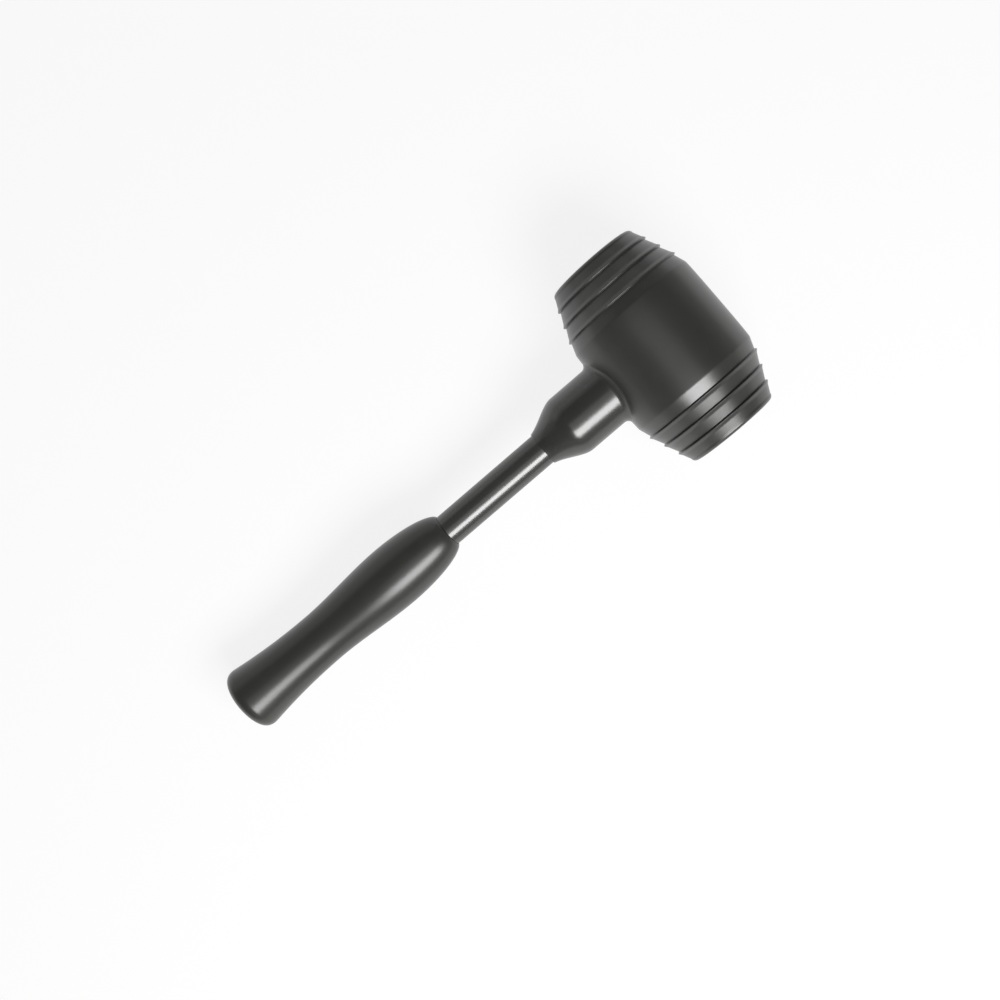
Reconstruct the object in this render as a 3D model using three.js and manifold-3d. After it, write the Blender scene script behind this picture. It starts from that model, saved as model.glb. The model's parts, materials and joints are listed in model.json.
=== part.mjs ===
// Shot-filled mallet with a moulded barrel head, a coated steel tube shank and a rubber grip.
// Millimetres, +Z up. The mallet lies on z = 0 the way it rests on a bench: on the belly of the
// barrel and on the flare of the grip. +X runs from the butt to the head, Y along the head.
import * as THREE from 'three';
import { mergeVertices } from 'three/addons/utils/BufferGeometryUtils.js';
import Module from 'manifold-3d';

const wasm = await Module();
wasm.setup();

// Gap kept between two pieces that touch
const FIT_GAP = 0.3;

// Head barrel: a crowned belly, then a taper with three saw-tooth rings at each end
const BARREL_RADIUS = 37.5;
const BELLY_CROWN = 0.35;
const HEAD_LENGTH = 114;
const SHOULDER_FROM_FACE = 31.7;
const RING_COUNT = 3;
const RING_PITCH = 8;
const LAST_RING_FROM_FACE = 8.5;
const FIRST_RING_DROP = 1.5;
const RING_FALL = 3.05;
const RING_STEP_RUN = 0.85;
const RING_STEP_HEIGHT = 1.1;
const RING_LIP_RUN = 1.6;
const RING_LIP_DROP = 1.35;
const FACE_EDGE_DROP = 11.1;
const FACE_EDGE_ROUND = 2.4;
const FACE_THICKNESS = 15;

// Neck boss of the head, seen as a thick stub that tapers down to the shank
const BOSS_RADIUS = 17.5;
const BOSS_FILLET = 3;
const BOSS_END = 62;
const NECK_LENGTH = 20;
const NECK_LIP = 0.4;

// Shot canister inside the barrel, sized to hold rows of seven balls
const BALL_DIAMETER = 12;
const BALL_ROWS = 5;
const CANISTER_WALL = 2.6;
const CAP_THICKNESS = 4;
const CAP_RECESS = 2.3;
const CAP_WELD_WIDTH = 2.2;

// Shank tube, the socket that carries it and the cross pin that locks it
const TUBE_DIAMETER = 18;
const TUBE_WALL = 2;
const SOCKET_WALL = 3.7;
const SOCKET_FLOOR = 8;
const SOCKET_DEPTH = 26;
const SOCKET_WELD_SIZE = 3;
const SOCKET_PIN_DIAMETER = 5;
const PIN_CHAMFER = 0.4;

// Grip, from its rounded nose over the swell and the waist to the flared butt
const HANDLE_REACH = 293.5;
const GRIP_NOSE_LENGTH = 38.3;
const GRIP_NOSE_RISE = 9.2;
const GRIP_SWELL_FROM_BUTT = 107.5;
const GRIP_SWELL_RADIUS = 17.1;
const GRIP_WAIST_FROM_BUTT = 57.5;
const GRIP_WAIST_RADIUS = 14.4;
const GRIP_FLARE_FROM_BUTT = 7.3;
const GRIP_FLARE_RADIUS = 18.05;
const GRIP_LIP = 0.4;
const BUTT_WALL = 9.5;
const ANCHOR_PIN_DIAMETER = 4;
const ANCHOR_PIN_LENGTH = 22;
const ANCHOR_PIN_FROM_BUTT = 31;

// Plug that closes the butt end of the tube
const PLUG_FLANGE = 2;
const PLUG_DEPTH = 12;

// Sizes that follow from those above
const FACE_Y = HEAD_LENGTH / 2;
const BELLY_HALF_LENGTH = FACE_Y - SHOULDER_FROM_FACE;
const TUBE_RADIUS = TUBE_DIAMETER / 2;
const TUBE_BORE_RADIUS = TUBE_RADIUS - TUBE_WALL;
const BALL_PITCH = BALL_DIAMETER + FIT_GAP;
const CANISTER_BORE_RADIUS = 1.5 * BALL_DIAMETER + 2 * FIT_GAP;
const CANISTER_RADIUS = CANISTER_BORE_RADIUS + CANISTER_WALL;
const CANISTER_HALF = FACE_Y - FACE_THICKNESS;
const SOCKET_BORE_RADIUS = TUBE_RADIUS + FIT_GAP;
const SOCKET_RADIUS = SOCKET_BORE_RADIUS + SOCKET_WALL;
const SOCKET_FLOOR_END = CANISTER_RADIUS + FIT_GAP + SOCKET_FLOOR;
const SOCKET_END = SOCKET_FLOOR_END + SOCKET_DEPTH;
const SOCKET_PIN_AT = SOCKET_FLOOR_END + SOCKET_DEPTH / 2;
const SOCKET_PIN_RADIUS = SOCKET_PIN_DIAMETER / 2;
const TUBE_START = SOCKET_FLOOR_END + FIT_GAP;
const GRIP_BORE_RADIUS = TUBE_RADIUS + FIT_GAP;
const GRIP_BORE_END = HANDLE_REACH - BUTT_WALL;
const TUBE_END = GRIP_BORE_END - PLUG_FLANGE - 2 * FIT_GAP;
const ANCHOR_PIN_AT = HANDLE_REACH - ANCHOR_PIN_FROM_BUTT;
const ANCHOR_PIN_RADIUS = ANCHOR_PIN_DIAMETER / 2;

// Facets round the barrel, the handle pieces and the pins
const BARREL_FACETS = 48;
const HANDLE_FACETS = 40;
const PIN_FACETS = 20;

const RUBBER = new THREE.MeshStandardMaterial({ color: 0x2b2b29, roughness: 0.5, metalness: 0 });
const GRIP_RUBBER = new THREE.MeshStandardMaterial({ color: 0x2d2d2b, roughness: 0.6, metalness: 0 });
const COATED_STEEL = new THREE.MeshStandardMaterial({ color: 0x232322, roughness: 0.25, metalness: 0.2 });
const STEEL = new THREE.MeshStandardMaterial({ color: 0x9a9c9e, roughness: 0.4, metalness: 1 });
const WELD = new THREE.MeshStandardMaterial({ color: 0x77726c, roughness: 0.55, metalness: 1 });
const BALL_STEEL = new THREE.MeshStandardMaterial({ color: 0xc4c6c8, roughness: 0.15, metalness: 1 });
const PLASTIC = new THREE.MeshStandardMaterial({ color: 0x3a3a3c, roughness: 0.6, metalness: 0 });

// Drops normals, welds shared corners and leaves out triangles without area
function welded(geometry) {
  const bare = new THREE.BufferGeometry();
  bare.setAttribute('position', geometry.getAttribute('position').clone());
  if (geometry.index) {
    bare.setIndex(geometry.index.clone());
  }
  const merged = mergeVertices(bare, 1e-4);
  const index = [];
  const corners = merged.index.array;
  for (let i = 0; i < corners.length; i += 3) {
    const [a, b, c] = [corners[i], corners[i + 1], corners[i + 2]];
    if (a !== b && b !== c && c !== a) {
      index.push(a, b, c);
    }
  }
  merged.setIndex(index);
  merged.computeVertexNormals();
  return merged;
}

function toSolid(geometry) {
  const shape = welded(geometry);
  const mesh = new wasm.Mesh({
    numProp: 3,
    vertProperties: new Float32Array(shape.getAttribute('position').array),
    triVerts: new Uint32Array(shape.index.array),
  });
  return new wasm.Manifold(mesh);
}

function toGeometry(solid) {
  const mesh = solid.getMesh();
  const geometry = new THREE.BufferGeometry();
  geometry.setAttribute('position', new THREE.BufferAttribute(new Float32Array(mesh.vertProperties), 3));
  geometry.setIndex(new THREE.BufferAttribute(new Uint32Array(mesh.triVerts), 1));
  geometry.computeVertexNormals();
  return geometry;
}

// Turned piece about the head axis from [radius, y] pairs
function aboutHead(profile, facets = BARREL_FACETS) {
  const points = profile.map(([radius, y]) => new THREE.Vector2(radius, y));
  return welded(new THREE.LatheGeometry(points, facets));
}

// Turned piece about the handle axis from [radius, distance from the head axis] pairs
function aboutHandle(profile, facets = HANDLE_FACETS) {
  return aboutHead(profile, facets).rotateZ(Math.PI / 2);
}

// Plain round bar along the head axis, centred at a distance along the handle
function crossBar(radius, length, distance) {
  const bar = new THREE.CylinderGeometry(radius, radius, length, PIN_FACETS);
  return bar.translate(-distance, 0, 0);
}

function headRod(radius, halfLength, facets = HANDLE_FACETS) {
  return aboutHead([[0, -halfLength], [radius, -halfLength], [radius, halfLength], [0, halfLength]], facets);
}

function handleRod(radius, start, end) {
  return aboutHandle([[0, start], [radius, start], [radius, end], [0, end]]);
}

// One end of the barrel profile, from the belly's middle to the middle of the face. Each ring is a step
// up from a flute, a lip that falls steeply from the crest and then the next, flatter flute
function barrelHalf() {
  const faceEdgeRadius = BARREL_RADIUS - FACE_EDGE_DROP;
  const half = [
    [BARREL_RADIUS, BELLY_HALF_LENGTH * 0.5],
    [BARREL_RADIUS - BELLY_CROWN * 0.4, BELLY_HALF_LENGTH * 0.85],
    [BARREL_RADIUS - BELLY_CROWN, BELLY_HALF_LENGTH],
  ];
  for (let ring = 0; ring < RING_COUNT; ring += 1) {
    const y = FACE_Y - LAST_RING_FROM_FACE - RING_PITCH * (RING_COUNT - 1 - ring);
    const crest = BARREL_RADIUS - FIRST_RING_DROP - RING_FALL * ring;
    half.push([crest - RING_STEP_HEIGHT, y - RING_STEP_RUN], [crest, y]);
    half.push([crest - RING_LIP_DROP, y + RING_LIP_RUN]);
  }
  for (let i = 0; i <= 3; i += 1) {
    const turn = (Math.PI / 2) * (i / 3);
    const radius = faceEdgeRadius - FACE_EDGE_ROUND * (1 - Math.cos(turn));
    half.push([radius, FACE_Y - FACE_EDGE_ROUND * (1 - Math.sin(turn))]);
  }
  half.push([0, FACE_Y]);
  return half;
}

// Barrel turned so that a corner of its facets, not a flat, touches the bench when the mallet lies down
function barrel() {
  const half = barrelHalf();
  const mirrored = half.map(([radius, y]) => [radius, -y]).reverse();
  return aboutHead([...mirrored, ...half]).rotateY(restTilt());
}

// Neck boss: a fillet that hugs the round barrel, a straight stub and a taper onto the tube
function boss() {
  const profile = [[0, BARREL_RADIUS - 4], [BOSS_RADIUS + BOSS_FILLET, BARREL_RADIUS - 4]];
  for (let i = 3; i >= 0; i -= 1) {
    const turn = THREE.MathUtils.degToRad(25 * i);
    const radius = BOSS_RADIUS + BOSS_FILLET * (1 - Math.cos(turn));
    profile.push([radius, BARREL_RADIUS + BOSS_FILLET * (1 - Math.sin(turn))]);
  }
  const mouthRadius = TUBE_RADIUS + FIT_GAP + NECK_LIP;
  const rise = BOSS_RADIUS - mouthRadius;
  const taper = new THREE.CubicBezierCurve(
    new THREE.Vector2(BOSS_RADIUS, BOSS_END),
    new THREE.Vector2(BOSS_RADIUS, BOSS_END + NECK_LENGTH * 0.28),
    new THREE.Vector2(mouthRadius + rise * 0.22, BOSS_END + NECK_LENGTH * 0.65),
    new THREE.Vector2(mouthRadius, BOSS_END + NECK_LENGTH));
  taper.getPoints(8).forEach((point) => profile.push([point.x, point.y]));
  profile.push([0, BOSS_END + NECK_LENGTH]);
  const shape = aboutHandle(profile);
  const position = shape.getAttribute('position');
  for (let i = 0; i < position.count; i += 1) {
    const distance = -position.getX(i);
    const z = position.getZ(i);
    if (distance < BARREL_RADIUS + BOSS_FILLET + 1e-3) {
      const sag = BARREL_RADIUS - Math.sqrt(BARREL_RADIUS ** 2 - z ** 2);
      position.setX(i, sag - distance);
    }
  }
  return shape;
}

// Saddle-shaped weld round the foot of the socket, grown on every side by the given margin
function saddle(margin) {
  const inner = CANISTER_RADIUS + FIT_GAP - margin;
  const outer = CANISTER_RADIUS + FIT_GAP + SOCKET_WELD_SIZE + margin;
  const collar = toSolid(handleRod(SOCKET_RADIUS + FIT_GAP + SOCKET_WELD_SIZE + margin, FIT_GAP, outer + FIT_GAP));
  const hole = toSolid(handleRod(SOCKET_RADIUS + FIT_GAP - margin, 0, outer + 2 * FIT_GAP));
  const skin = toSolid(headRod(outer, CANISTER_HALF));
  const core = toSolid(headRod(inner, CANISTER_HALF));
  return collar.intersect(skin).subtract(core).subtract(hole);
}

function headJacket() {
  const cavity = toSolid(headRod(CANISTER_RADIUS + FIT_GAP, CANISTER_HALF + FIT_GAP))
    .add(toSolid(handleRod(SOCKET_RADIUS + FIT_GAP, 0, SOCKET_END + FIT_GAP)))
    .add(saddle(FIT_GAP))
    .add(toSolid(handleRod(TUBE_RADIUS + FIT_GAP, 0, BOSS_END + 2 * NECK_LENGTH)));
  return toGeometry(toSolid(barrel()).add(toSolid(boss())).subtract(cavity));
}

function canisterTube() {
  return aboutHead([
    [CANISTER_BORE_RADIUS, -CANISTER_HALF],
    [CANISTER_RADIUS, -CANISTER_HALF],
    [CANISTER_RADIUS, CANISTER_HALF],
    [CANISTER_BORE_RADIUS, CANISTER_HALF],
    [CANISTER_BORE_RADIUS, -CANISTER_HALF],
  ], HANDLE_FACETS);
}

// End disc of the canister; its outer face carries the weld
function canisterCap() {
  const radius = CANISTER_BORE_RADIUS - FIT_GAP;
  return aboutHead([
    [0, -CAP_THICKNESS],
    [radius, -CAP_THICKNESS],
    [radius, 0],
    [0, 0],
  ], HANDLE_FACETS);
}

function capWeld() {
  const radius = CANISTER_BORE_RADIUS - FIT_GAP;
  const height = CAP_RECESS - FIT_GAP;
  return aboutHead([
    [radius - CAP_WELD_WIDTH, 0],
    [radius, 0],
    [radius, height],
    [radius - CAP_WELD_WIDTH * 0.45, height * 0.62],
    [radius - CAP_WELD_WIDTH, 0],
  ], HANDLE_FACETS);
}

// Socket welded to the canister's side: coped to its round wall, with a blind bore for the tube
function handleSocket() {
  const turned = toSolid(aboutHandle([
    [0, CANISTER_RADIUS * 0.5],
    [SOCKET_RADIUS, CANISTER_RADIUS * 0.5],
    [SOCKET_RADIUS, SOCKET_END],
    [SOCKET_BORE_RADIUS, SOCKET_END],
    [SOCKET_BORE_RADIUS, SOCKET_FLOOR_END],
    [0, SOCKET_FLOOR_END],
  ]));
  const wall = toSolid(headRod(CANISTER_RADIUS + FIT_GAP, CANISTER_HALF));
  const pinHole = toSolid(crossBar(SOCKET_PIN_RADIUS + FIT_GAP, 4 * SOCKET_RADIUS, SOCKET_PIN_AT));
  return toGeometry(turned.subtract(wall).subtract(pinHole));
}

function handleTube() {
  const tube = toSolid(aboutHandle([
    [TUBE_BORE_RADIUS, TUBE_START],
    [TUBE_RADIUS, TUBE_START],
    [TUBE_RADIUS, TUBE_END],
    [TUBE_BORE_RADIUS, TUBE_END],
    [TUBE_BORE_RADIUS, TUBE_START],
  ]));
  const frontHole = toSolid(crossBar(SOCKET_PIN_RADIUS + FIT_GAP, 4 * TUBE_RADIUS, SOCKET_PIN_AT));
  const rearHole = toSolid(crossBar(ANCHOR_PIN_RADIUS + FIT_GAP, 4 * TUBE_RADIUS, ANCHOR_PIN_AT));
  return toGeometry(tube.subtract(frontHole).subtract(rearHole));
}

// Cross pin along the head axis with bevelled ends
function crossPin(radius, length) {
  const half = length / 2;
  return aboutHead([
    [0, -half],
    [radius - PIN_CHAMFER, -half],
    [radius, PIN_CHAMFER - half],
    [radius, half - PIN_CHAMFER],
    [radius - PIN_CHAMFER, half],
    [0, half],
  ], PIN_FACETS);
}

function tubePlug() {
  const shank = TUBE_BORE_RADIUS - FIT_GAP;
  return aboutHandle([
    [0, -PLUG_DEPTH],
    [shank - 1, -PLUG_DEPTH],
    [shank, 1.5 - PLUG_DEPTH],
    [shank, FIT_GAP],
    [TUBE_RADIUS - FIT_GAP, FIT_GAP],
    [TUBE_RADIUS - FIT_GAP, FIT_GAP + PLUG_FLANGE],
    [0, FIT_GAP + PLUG_FLANGE],
  ]);
}

// Outside of the grip from the nose to the butt as [radius, distance from the head axis]
function gripOutline() {
  const swell = HANDLE_REACH - GRIP_SWELL_FROM_BUTT;
  const waist = HANDLE_REACH - GRIP_WAIST_FROM_BUTT;
  const flare = HANDLE_REACH - GRIP_FLARE_FROM_BUTT;
  const lipRadius = GRIP_BORE_RADIUS + GRIP_LIP;
  const outline = [];
  const noseBase = GRIP_SWELL_RADIUS - GRIP_NOSE_RISE;
  const lipTurn = Math.asin((lipRadius - noseBase) / GRIP_NOSE_RISE);
  for (let i = 0; i <= 8; i += 1) {
    const turn = lipTurn + (Math.PI / 2 - lipTurn) * (i / 8);
    const radius = noseBase + GRIP_NOSE_RISE * Math.sin(turn);
    outline.push([radius, swell - GRIP_NOSE_LENGTH * Math.cos(turn)]);
  }
  for (let i = 1; i <= 6; i += 1) {
    const part = i / 6;
    const ease = part * part * (3 - 2 * part);
    const radius = GRIP_SWELL_RADIUS + (GRIP_WAIST_RADIUS - GRIP_SWELL_RADIUS) * ease;
    outline.push([radius, swell + (waist - swell) * part]);
  }
  for (let i = 1; i <= 6; i += 1) {
    const part = i / 6;
    const radius = GRIP_WAIST_RADIUS + (GRIP_FLARE_RADIUS - GRIP_WAIST_RADIUS) * part * part;
    outline.push([radius, waist + (flare - waist) * part]);
  }
  const domed = new THREE.CubicBezierCurve(
    new THREE.Vector2(GRIP_FLARE_RADIUS, flare),
    new THREE.Vector2(GRIP_FLARE_RADIUS, flare + GRIP_FLARE_FROM_BUTT * 0.78),
    new THREE.Vector2(GRIP_FLARE_RADIUS * 0.72, HANDLE_REACH),
    new THREE.Vector2(0, HANDLE_REACH));
  domed.getPoints(7).slice(1).forEach((point) => outline.push([point.x, point.y]));
  return outline;
}

function grip() {
  const outline = gripOutline();
  const nose = outline[0][1];
  const turned = toSolid(aboutHandle([
    [0, GRIP_BORE_END],
    [GRIP_BORE_RADIUS, GRIP_BORE_END],
    [GRIP_BORE_RADIUS, nose],
    ...outline,
  ]));
  const pocket = toSolid(crossBar(ANCHOR_PIN_RADIUS + FIT_GAP, ANCHOR_PIN_LENGTH + 2 * FIT_GAP, ANCHOR_PIN_AT));
  return toGeometry(turned.subtract(pocket));
}

function piece(name, geometry, material) {
  const mesh = new THREE.Mesh(geometry, material);
  mesh.name = name;
  return mesh;
}

function numbered(stem, number) {
  return `${stem}_${String(number).padStart(2, '0')}`;
}

// Canister with its two end caps and their welds
function canister() {
  const group = new THREE.Group();
  group.name = 'canister';
  group.add(piece('canister_tube', canisterTube(), STEEL));
  for (const [side, turn] of [['left', 0], ['right', Math.PI]]) {
    const end = new THREE.Group();
    end.name = `canister_end_${side}`;
    const cap = piece(`canister_cap_${side}`, canisterCap(), STEEL);
    cap.position.y = CANISTER_HALF - CAP_RECESS;
    const weld = piece(`cap_weld_${side}`, capWeld(), WELD);
    weld.position.y = CANISTER_HALF - CAP_RECESS + FIT_GAP;
    end.add(cap, weld);
    end.rotation.x = turn;
    group.add(end);
  }
  return group;
}

// Rows of seven balls, one on the head axis and six round it
function shotCharge() {
  const group = new THREE.Group();
  group.name = 'shot_charge';
  const ball = welded(new THREE.IcosahedronGeometry(BALL_DIAMETER / 2, 1));
  let number = 0;
  for (let row = 0; row < BALL_ROWS; row += 1) {
    const y = (row - (BALL_ROWS - 1) / 2) * BALL_PITCH;
    for (let place = 0; place < 7; place += 1) {
      number += 1;
      const mesh = piece(numbered('shot_ball', number), ball.clone(), BALL_STEEL);
      const reach = place === 0 ? 0 : BALL_PITCH;
      const turn = (Math.PI / 3) * place;
      mesh.position.set(reach * Math.cos(turn), y, reach * Math.sin(turn));
      group.add(mesh);
    }
  }
  return group;
}

// Socket, weld, tube, pins and plug that carry the head on the grip
function handleCore() {
  const group = new THREE.Group();
  group.name = 'handle_core';
  group.add(piece('handle_socket', handleSocket(), STEEL));
  group.add(piece('socket_weld', toGeometry(saddle(0)), WELD));
  const lockPin = piece('socket_pin', crossPin(SOCKET_PIN_RADIUS, 2 * SOCKET_RADIUS - 2 * PIN_CHAMFER), STEEL);
  lockPin.position.x = -SOCKET_PIN_AT;
  group.add(lockPin);
  group.add(piece('handle_tube', handleTube(), COATED_STEEL));
  const plug = piece('rear_tube_plug', tubePlug(), PLASTIC);
  plug.position.x = -TUBE_END;
  group.add(plug);
  const anchor = piece('grip_anchor_pin', crossPin(ANCHOR_PIN_RADIUS, ANCHOR_PIN_LENGTH), STEEL);
  anchor.position.x = -ANCHOR_PIN_AT;
  group.add(anchor);
  return group;
}

// Tilt of the handle when the belly and the flare both touch the bench
function restTilt() {
  const reach = HANDLE_REACH - GRIP_FLARE_FROM_BUTT;
  return Math.asin(BARREL_RADIUS / Math.hypot(reach, GRIP_FLARE_RADIUS)) - Math.atan2(GRIP_FLARE_RADIUS, reach);
}

const mallet = new THREE.Group();
mallet.name = 'mallet';
const lying = new THREE.Group();
lying.name = 'lying_mallet';
lying.add(piece('head_jacket', headJacket(), RUBBER));
lying.add(canister());
lying.add(shotCharge());
lying.add(handleCore());
lying.add(piece('grip', grip(), GRIP_RUBBER));
lying.rotation.y = -restTilt();
mallet.add(lying);

// The origin is the middle of the mallet's footprint, on the bench
mallet.updateMatrixWorld(true);
const extent = new THREE.Box3().setFromObject(mallet, true);
lying.position.set(-(extent.min.x + extent.max.x) / 2, 0, -extent.min.z);

export default mallet;
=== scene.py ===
import json
import math

import bmesh
import bpy
from bpy.props import FloatProperty, FloatVectorProperty, IntProperty, PointerProperty
from mathutils import Matrix, Vector
from mathutils.geometry import interpolate_bezier


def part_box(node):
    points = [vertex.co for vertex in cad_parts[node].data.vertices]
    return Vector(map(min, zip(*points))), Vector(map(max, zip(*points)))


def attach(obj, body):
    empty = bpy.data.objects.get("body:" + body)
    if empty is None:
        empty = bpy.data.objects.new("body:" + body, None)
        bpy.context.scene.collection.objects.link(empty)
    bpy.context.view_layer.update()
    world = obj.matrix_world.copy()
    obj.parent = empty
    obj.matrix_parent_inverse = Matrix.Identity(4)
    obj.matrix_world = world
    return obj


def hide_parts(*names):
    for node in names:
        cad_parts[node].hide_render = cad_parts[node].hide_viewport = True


bl_info = {
    "name": "Shot-filled mallet",
    "version": (1, 0, 0),
    "blender": (4, 5, 0),
    "location": "View3D > Sidebar > Mallet",
    "description": "Models a ringed barrel mallet over its packed frame and sets it on a white stage",
    "category": "Object",
}

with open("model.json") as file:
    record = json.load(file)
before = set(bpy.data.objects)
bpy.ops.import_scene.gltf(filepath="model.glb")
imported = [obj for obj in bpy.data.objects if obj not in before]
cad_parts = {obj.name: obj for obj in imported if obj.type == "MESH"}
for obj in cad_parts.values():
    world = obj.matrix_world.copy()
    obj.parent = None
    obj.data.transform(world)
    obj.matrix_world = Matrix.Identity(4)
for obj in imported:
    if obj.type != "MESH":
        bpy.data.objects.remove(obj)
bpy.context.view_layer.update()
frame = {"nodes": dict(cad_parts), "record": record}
BALL_COUNT = sum(name.startswith("shot_ball_") for name in frame["nodes"])
MM = 0.001

# Points nearer than WELD are one point, SEAM joins a turned solid's ends, and edges from SHARP_ANGLE up
# stay sharp
WELD = 0.006 * MM
SEAM = 0.0001 * MM
SHARP_ANGLE = math.radians(38)

# Fineness of the turned pieces, round their axis and along their outline
BARREL_STEPS = 240
GRIP_STEPS = 180
TUBE_STEPS = 144
ROD_STEPS = 96
PIN_STEPS = 40
TUBE_CUTS = 28
CURVE_CUTS = 24
FILLET_CUTS = 13
BELLY_POINTS = 14
FACE_EDGE_POINTS = 9
NECK_POINTS = 28
FLARE_POINTS = 8
BUTT_POINTS = 22
BALL_SUBDIVISIONS = 4

# Small roundings, the short cut that keeps a straight run straight, and how the boss meets the barrel
SHOULDER_ROUND = 0.5 * MM
LIP_ROUND = 0.45 * MM
NOSE_ROUND = 0.25 * MM
STRAIGHT_HOLD = 0.15 * MM
BOSS_ROOT = 4 * MM
FILLET_SINK = 0.4 * MM
FILLET_TURN = math.radians(88)

# Handles of the outlines' curves, as shares of the run and the rise that they bridge;
# QUARTER_BEND is a share of a quarter round's radius
QUARTER_BEND = 0.5523
BELLY_LEAD, BELLY_TRAIL, BELLY_TRAIL_FALL = 0.62, 0.86, 0.3
NECK_LEAD, NECK_TRAIL, NECK_TRAIL_RISE = 0.28, 0.65, 0.22
FLARE_SHARE, FLARE_LEAD, FLARE_TRAIL = 0.94, 0.75, 0.3
BUTT_LEAD, BUTT_TRAIL = 0.78, 0.72

# Bend of the floor's edge up to its raised rim, in metres
SWEEP_RUN, SWEEP_LEAD, SWEEP_TRAIL = 1.0, 0.55, 0.45

# Spacing of the shader nodes in their editor, and the width of the camera's sensor in millimetres
NODE_SPACING = 220
SENSOR_WIDTH = 36.0


def millimetres(name, default, description):
    """A length property whose default is given in millimetres."""
    return FloatProperty(
        name=name, description=description, default=default * MM, min=0.0, precision=5,
        subtype="DISTANCE", unit="LENGTH")


def metres(name, default, description):
    """A length property of the stage, in metres."""
    return FloatProperty(
        name=name, description=description, default=default, subtype="DISTANCE", unit="LENGTH")


def watts(name, default, description):
    """The power of a lamp."""
    return FloatProperty(name=name, description=description, default=default, min=0.0)


def share(name, default, description):
    """A plain number property from nothing to one."""
    return FloatProperty(
        name=name, description=description, default=default, min=0.0, max=1.0, precision=3, subtype="FACTOR")


def paint(name, default, description):
    """A colour property, in linear light."""
    return FloatVectorProperty(
        name=name, description=description, default=default, size=3, min=0.0, max=1.0, subtype="COLOR")


def spot(name, default, description):
    """A point on the stage, in metres."""
    return FloatVectorProperty(
        name=name, description=description, default=default, size=3, subtype="TRANSLATION", unit="LENGTH")


class MalletHeadSizes(bpy.types.PropertyGroup):
    """Sizes of the moulded head, its rings and its neck boss."""
    barrel_radius: millimetres("Barrel radius", 37.5, "Radius of the belly")
    belly_crown: millimetres("Belly crown", 0.35, "Fall of the belly from its middle to its shoulder")
    length: millimetres("Head length", 114, "From one striking face to the other")
    shoulder_from_face: millimetres("Shoulder from face", 31.7, "From the face back to the belly's shoulder")
    ring_count: IntProperty(name="Rings", description="Saw-tooth rings at each end", default=3, min=1, max=6)
    ring_pitch: millimetres("Ring pitch", 8, "From one crest to the next")
    last_ring_from_face: millimetres("Last ring from face", 8.5, "From the face back to the outer crest")
    first_ring_drop: millimetres("First ring drop", 1.5, "How far the inner crest lies under the belly")
    ring_fall: millimetres("Ring fall", 3.05, "How much lower each crest lies than the one before")
    ring_step_run: millimetres("Step run", 0.85, "Length of the step from a flute up to a crest")
    ring_step_height: millimetres("Step height", 1.1, "Height of the step from a flute up to a crest")
    ring_lip_run: millimetres("Lip run", 1.6, "Length of the steep lip behind a crest")
    ring_lip_drop: millimetres("Lip drop", 1.35, "Fall of the steep lip behind a crest")
    crest_round: millimetres("Crest round", 0.28, "Rounding of a crest")
    face_edge_drop: millimetres("Face edge drop", 11.1, "How far the face's edge lies under the belly")
    face_edge_round: millimetres("Face edge round", 2.4, "Rounding of the face's edge")
    boss_radius: millimetres("Boss radius", 17.5, "Radius of the neck boss")
    boss_fillet: millimetres("Boss fillet", 3, "Fillet between the boss and the barrel")
    boss_end: millimetres("Boss end", 62, "From the head axis to the start of the boss's taper")
    neck_length: millimetres("Neck length", 20, "Length of the boss's taper")
    mouth_radius: millimetres("Mouth radius", 9.7, "Outer radius of the boss where the shank leaves it")
    canister_room: millimetres("Canister room", 21.5, "Radius of the hollow for the steel canister")
    canister_half: millimetres("Canister half length", 42.3, "Half length of the hollow for the canister")
    socket_room: millimetres("Socket room", 13.3, "Radius of the hollow for the handle socket")
    socket_end: millimetres("Socket end", 55.8, "From the head axis to the end of the socket's hollow")
    saddle_room: millimetres("Saddle room", 16.6, "Radius of the hollow for the saddle weld")
    saddle_reach: millimetres("Saddle reach", 24.8, "From the head axis to the top of the saddle's hollow")
    bore_radius: millimetres("Bore radius", 9.3, "Radius of the hole that the shank passes through")
    ball_radius: millimetres("Ball radius", 6, "Radius of a ball of the loose charge")


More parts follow.
